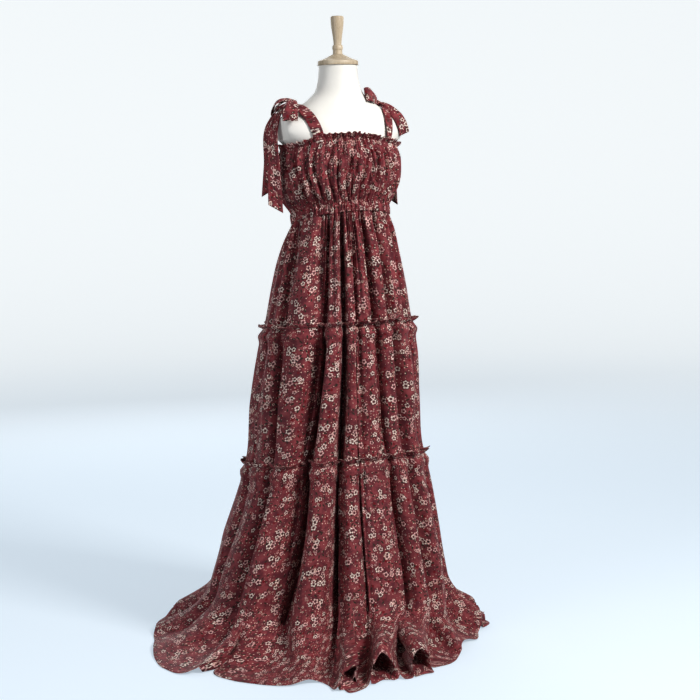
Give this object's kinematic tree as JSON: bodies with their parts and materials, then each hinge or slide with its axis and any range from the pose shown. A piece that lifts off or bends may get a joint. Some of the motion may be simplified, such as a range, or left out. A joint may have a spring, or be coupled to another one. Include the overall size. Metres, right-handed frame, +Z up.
{
  "type": "camisole dress on a dress form",
  "caption": "Floor-length tiered camisole dress with elastic bodice, tied shoulder bows and a pooled hem, standing on a limbless dress form.",
  "frame": {"origin": "centre of the underside of the form's round base, on the pole's axis", "axes": "+Z up along the pole; the wearer faces -Y; the wearer's left is +X"},
  "size_m": [0.9137, 0.9785, 1.57],
  "materials": {
    "printed_cloth": "matte printed woven",
    "form_shell": "satin",
    "turned_wood": "satin",
    "stand_metal": "satin"
  },
  "bodies": {
    "root": {"bodice_front": "printed_cloth", "bodice_back": "printed_cloth", "tier_1_front": "printed_cloth", "tier_1_back": "printed_cloth", "tier_2_front": "printed_cloth", "tier_2_back": "printed_cloth", "tier_3_front": "printed_cloth", "tier_3_back": "printed_cloth", "strap_front_right": "printed_cloth", "strap_back_right": "printed_cloth", "knot_right": "printed_cloth", "strap_front_left": "printed_cloth", "strap_back_left": "printed_cloth", "knot_left": "printed_cloth", "loop_front_right": "printed_cloth", "loop_back_right": "printed_cloth", "loop_inner_left": "printed_cloth", "loop_outer_left": "printed_cloth", "tail_front_right": "printed_cloth", "tail_back_right": "printed_cloth", "tail_front_left": "printed_cloth", "tail_back_left": "printed_cloth", "form_torso": "form_shell", "neck_cap": "turned_wood", "finial": "turned_wood", "form_pole": "stand_metal", "form_base": "stand_metal"}
  },
  "joints": []
}
